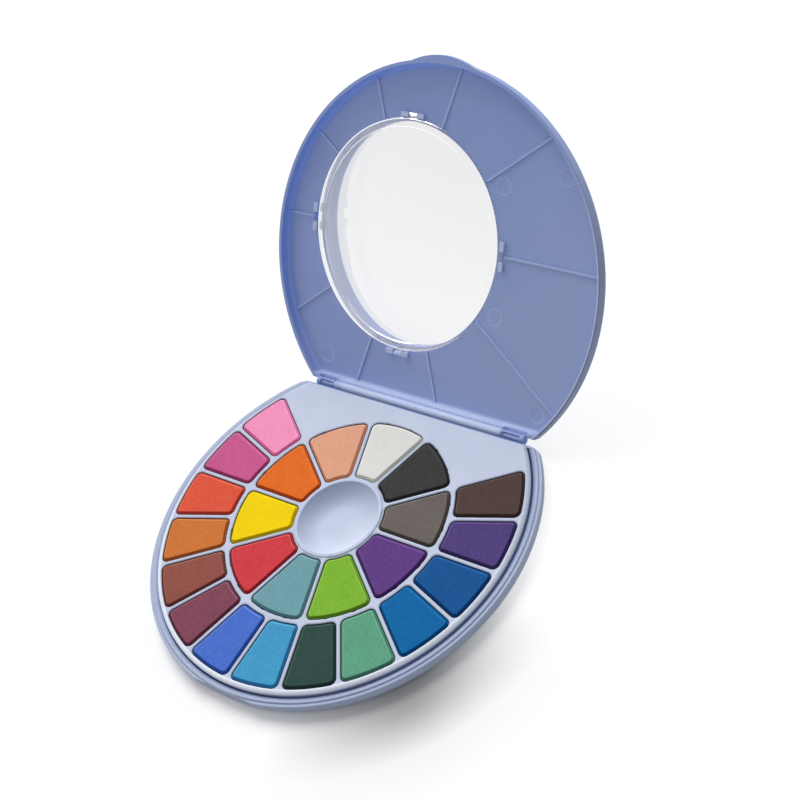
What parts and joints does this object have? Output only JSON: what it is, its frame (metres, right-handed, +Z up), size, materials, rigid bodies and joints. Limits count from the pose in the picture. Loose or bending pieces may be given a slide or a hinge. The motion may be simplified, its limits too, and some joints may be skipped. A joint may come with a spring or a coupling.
{
  "type": "watercolour paint set",
  "caption": "Round hinged watercolour compact: pale tray with wedge-shaped paint cakes around a mixing well, and an open lid with a round clear window.",
  "frame": {"origin": "centre of the round case on its underside", "axes": "+X along the hinge line, +Y from the thumb side towards the hinge and the open lid, +Z up out of the tray"},
  "size_m": [0.147, 0.2066, 0.1005],
  "materials": {
    "case_plastic": "smooth moulded, satin",
    "tray_plastic": "smooth moulded, satin",
    "lid_plastic": "smooth moulded, satin",
    "clear_pane": "clear, polished",
    "paint_pink": "dry pressed watercolour, finely speckled",
    "paint_magenta": "dry pressed watercolour, finely speckled",
    "paint_red_orange": "dry pressed watercolour, finely speckled",
    "paint_ochre": "dry pressed watercolour, finely speckled",
    "paint_brown_red": "dry pressed watercolour, finely speckled",
    "paint_wine": "dry pressed watercolour, finely speckled",
    "paint_ultramarine": "dry pressed watercolour, finely speckled",
    "paint_light_blue": "dry pressed watercolour, finely speckled",
    "paint_dark_green": "dry pressed watercolour, finely speckled",
    "paint_emerald": "dry pressed watercolour, finely speckled",
    "paint_cerulean": "dry pressed watercolour, finely speckled",
    "paint_deep_blue": "dry pressed watercolour, finely speckled",
    "paint_violet": "dry pressed watercolour, finely speckled",
    "paint_dark_brown": "dry pressed watercolour, finely speckled",
    "paint_orange": "dry pressed watercolour, finely speckled",
    "paint_yellow": "dry pressed watercolour, finely speckled",
    "paint_red": "dry pressed watercolour, finely speckled",
    "paint_grey_teal": "dry pressed watercolour, finely speckled",
    "paint_lime_green": "dry pressed watercolour, finely speckled",
    "paint_plum": "dry pressed watercolour, finely speckled",
    "paint_taupe": "dry pressed watercolour, finely speckled",
    "paint_black": "dry pressed watercolour, finely speckled",
    "paint_white": "dry pressed watercolour, finely speckled",
    "paint_peach": "dry pressed watercolour, finely speckled"
  },
  "bodies": {
    "base": {"case_base": "case_plastic", "paint_tray": "tray_plastic", "cake_outer_01_pink": "paint_pink", "cake_outer_02_magenta": "paint_magenta", "cake_outer_03_red_orange": "paint_red_orange", "cake_outer_04_ochre": "paint_ochre", "cake_outer_05_brown_red": "paint_brown_red", "cake_outer_06_wine": "paint_wine", "cake_outer_07_ultramarine": "paint_ultramarine", "cake_outer_08_light_blue": "paint_light_blue", "cake_outer_09_dark_green": "paint_dark_green", "cake_outer_10_emerald": "paint_emerald", "cake_outer_11_cerulean": "paint_cerulean", "cake_outer_12_deep_blue": "paint_deep_blue", "cake_outer_13_violet": "paint_violet", "cake_outer_14_dark_brown": "paint_dark_brown", "cake_inner_01_orange": "paint_orange", "cake_inner_02_yellow": "paint_yellow", "cake_inner_03_red": "paint_red", "cake_inner_04_grey_teal": "paint_grey_teal", "cake_inner_05_lime_green": "paint_lime_green", "cake_inner_06_plum": "paint_plum", "cake_inner_07_taupe": "paint_taupe", "cake_inner_08_black": "paint_black", "cake_inner_09_white": "paint_white", "cake_inner_10_peach": "paint_peach"},
    "lid": {"lid_shell": "lid_plastic", "window_pane": "clear_pane"}
  },
  "joints": [
    {"name": "lid_hinge", "type": "hinge", "parent": "base", "child": "lid", "pos_m": [0, 0.05135, 0.0055], "axis": [-1, 0, 0], "range_deg": [-130.4, 45]}
  ]
}
